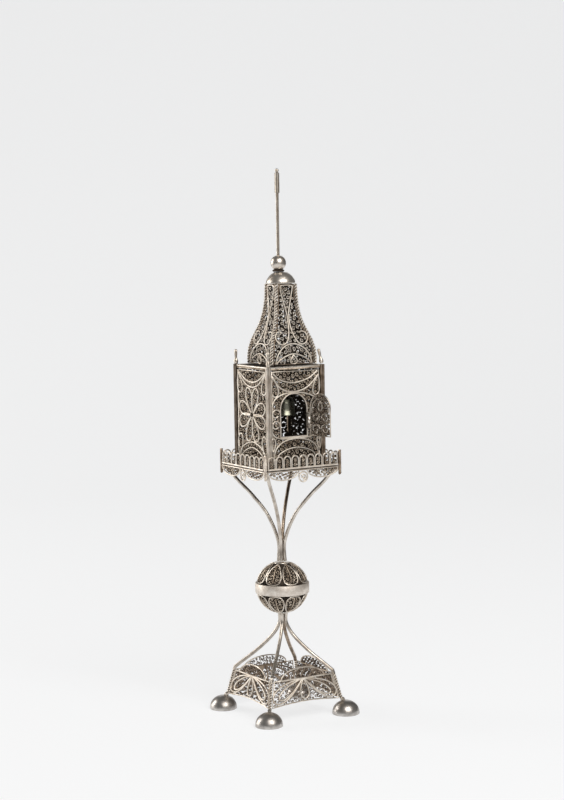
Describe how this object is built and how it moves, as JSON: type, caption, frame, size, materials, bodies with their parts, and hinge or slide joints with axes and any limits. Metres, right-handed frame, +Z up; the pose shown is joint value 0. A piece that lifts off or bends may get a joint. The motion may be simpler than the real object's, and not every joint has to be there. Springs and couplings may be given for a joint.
{
  "type": "spice tower",
  "caption": "Filigree silver spice tower: pierced chamber with a hinged door, on a balcony, stem ball and domed feet, under a spire with a pennant.",
  "frame": {"origin": "on the tower's axis at the ground, under the middle of the four feet", "axes": "+Z up along the pole, -Y out through the chamber's doorway, +X to the right of the door"},
  "size_m": [0.0516, 0.0537, 0.24],
  "materials": {
    "silver": "aged silver, satin, with dark crevices",
    "bright_silver": "worn bright silver, softly polished",
    "dark_silver": "filigree silver, darkened between the wires"
  },
  "bodies": {
    "tower": {"apron_back": "dark_silver", "apron_front": "dark_silver", "apron_left": "dark_silver", "apron_right": "dark_silver", "balcony_floor": "dark_silver", "balcony_side_back": "dark_silver", "balcony_side_front": "dark_silver", "balcony_side_left": "dark_silver", "balcony_side_right": "dark_silver", "bell_hook": "silver", "corner_pin_back_left": "silver", "corner_pin_back_right": "silver", "corner_pin_front_left": "silver", "corner_pin_front_right": "silver", "door_hinge_pin": "bright_silver", "finial_ball": "bright_silver", "foot_back_left": "bright_silver", "foot_back_right": "bright_silver", "foot_front_left": "bright_silver", "foot_front_right": "bright_silver", "leg_wire_back_left": "silver", "leg_wire_back_right": "silver", "leg_wire_front_left": "silver", "leg_wire_front_right": "silver", "neck_collar": "dark_silver", "pole": "silver", "post_back_left": "bright_silver", "post_back_right": "bright_silver", "post_front_left": "bright_silver", "post_front_right": "bright_silver", "roof_plate": "silver", "spire_cap": "silver", "spire_panel_back": "dark_silver", "spire_panel_front": "dark_silver", "spire_panel_left": "dark_silver", "spire_panel_right": "dark_silver", "spire_rib_back_left": "silver", "spire_rib_back_right": "silver", "spire_rib_front_left": "silver", "spire_rib_front_right": "silver", "stem_ball_belt": "bright_silver", "stem_ball_lower": "dark_silver", "stem_ball_upper": "dark_silver", "stem_collar_bottom": "silver", "stem_collar_top": "silver", "stem_wire_back_left": "silver", "stem_wire_back_right": "silver", "stem_wire_front_left": "silver", "stem_wire_front_right": "silver", "wall_back": "dark_silver", "wall_front": "dark_silver", "wall_left": "dark_silver", "wall_right": "dark_silver"},
    "door": {"door": "silver"},
    "pennant": {"pennant": "silver"},
    "bell": {"bell": "silver"},
    "clapper": {"bell_clapper": "dark_silver"}
  },
  "joints": [
    {"name": "door_hinge", "type": "hinge", "parent": "tower", "child": "door", "pos_m": [0.00575, -0.0151, 0.13089], "axis": [0, 0, 1], "range_deg": [-104, 56]},
    {"name": "pennant_spin", "type": "hinge", "parent": "tower", "child": "pennant", "pos_m": [0.0005, -0.00025, 0.234], "axis": [0, 0, 1], "continuous": true},
    {"name": "bell_swing", "type": "hinge", "parent": "tower", "child": "bell", "pos_m": [0.0022, -0.0011, 0.14215], "axis": [1, 0, 0], "range_deg": [-30, 30]},
    {"name": "clapper_swing", "type": "hinge", "parent": "bell", "child": "clapper", "pos_m": [0.0022, -0.0011, 0.1393], "axis": [1, 0, 0], "range_deg": [-18, 18]}
  ]
}
